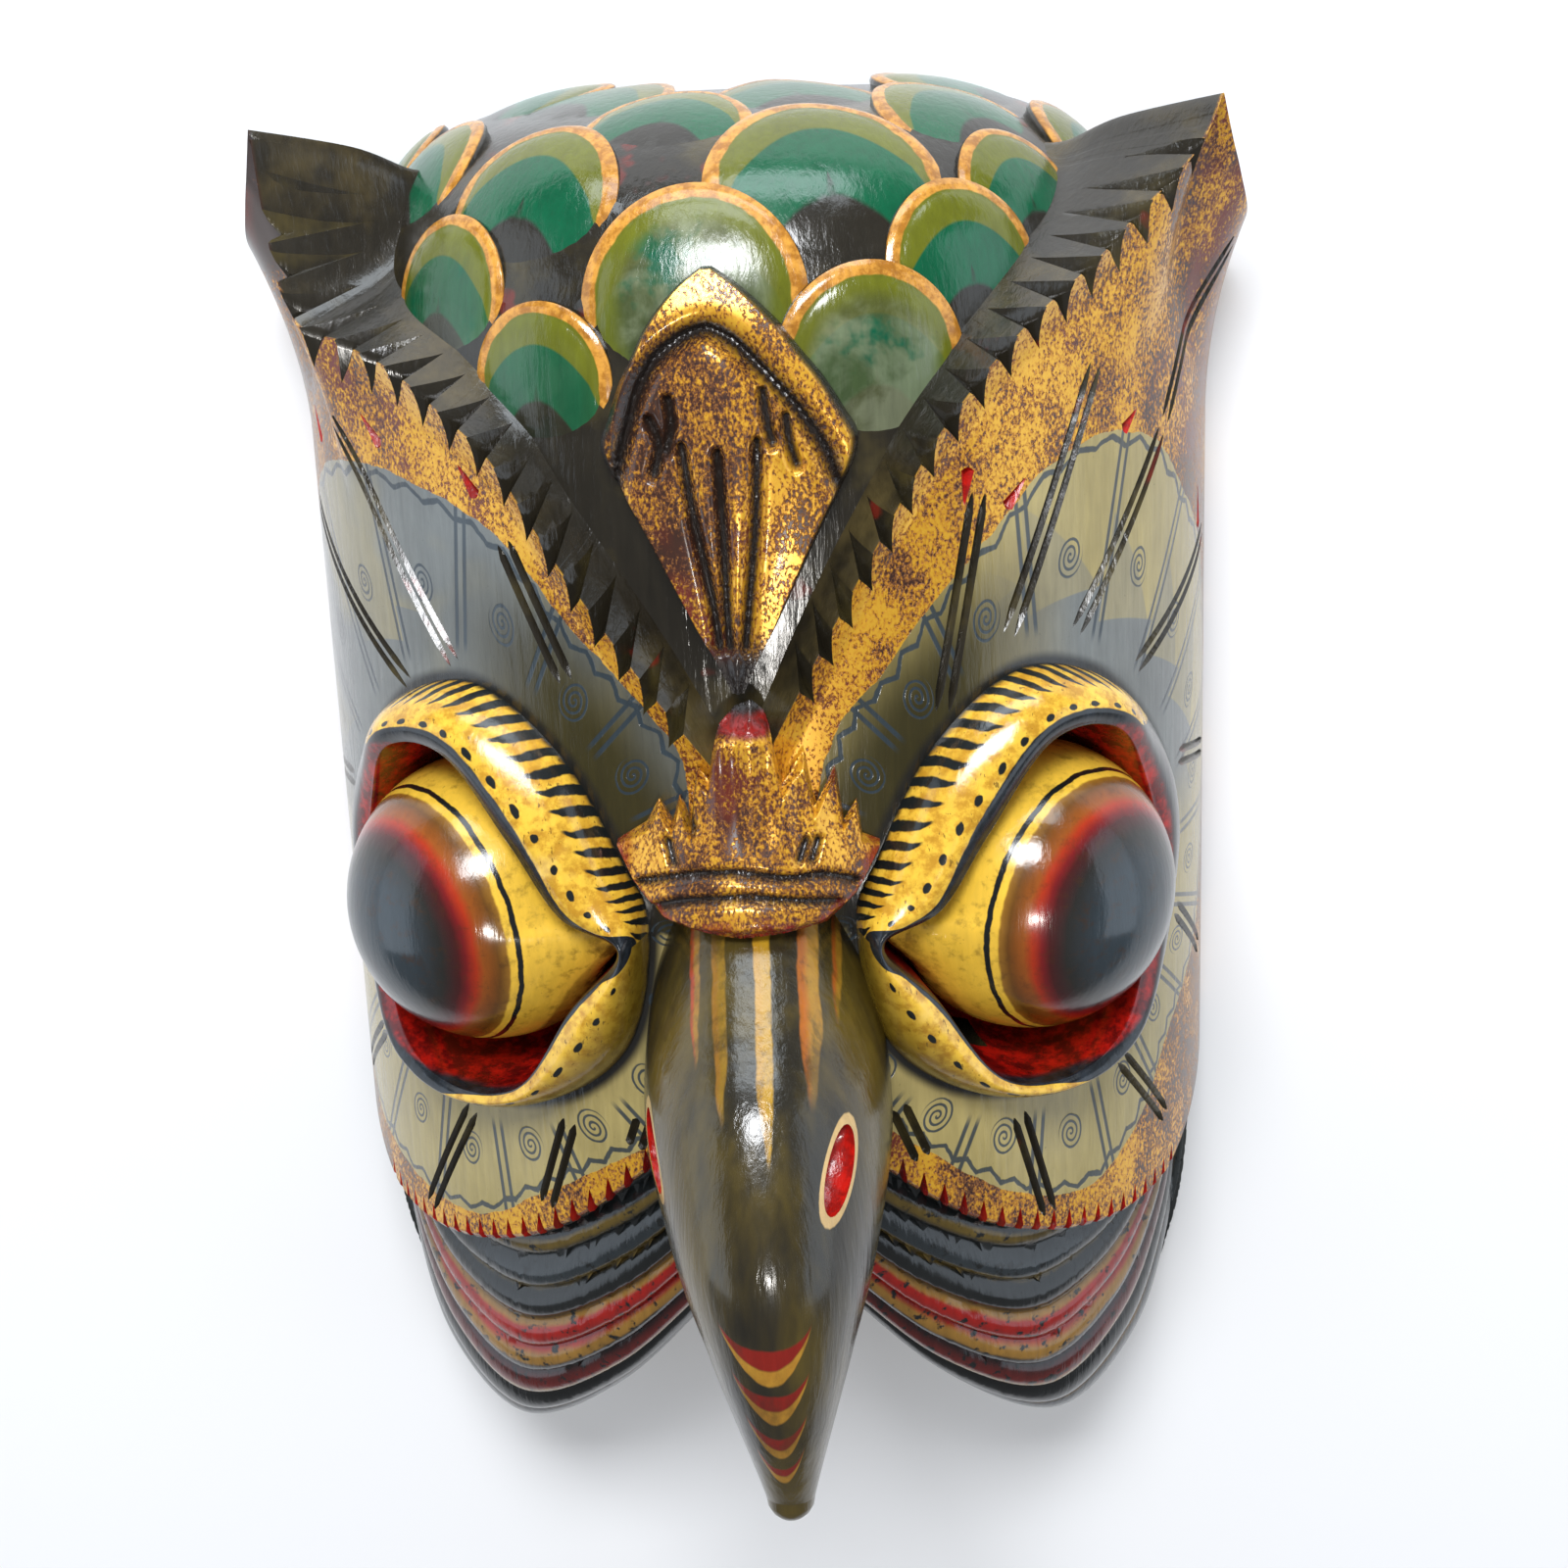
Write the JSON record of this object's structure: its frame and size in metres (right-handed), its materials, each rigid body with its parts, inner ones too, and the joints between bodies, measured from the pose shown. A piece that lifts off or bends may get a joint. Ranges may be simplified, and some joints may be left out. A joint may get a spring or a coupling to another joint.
{
  "type": "carved owl mask",
  "caption": "Carved and painted wooden owl mask with bulging lidded eyes, a long hooked beak, pointed ears, a scaled head, toothed brows and a hollow back.",
  "frame": {"origin": "middle of the mask's outline on the plane of its back rim, which it lies on", "axes": "+Z out of the face, +Y from the chin to the crown of the head, +X to the right as seen from in front"},
  "size_m": [0.1696, 0.2488, 0.122],
  "materials": {
    "painted_wood": "painted and gilded wood under a high-gloss lacquer, bare wood behind"
  },
  "bodies": {
    "root": {"mask": "painted_wood"}
  },
  "joints": []
}
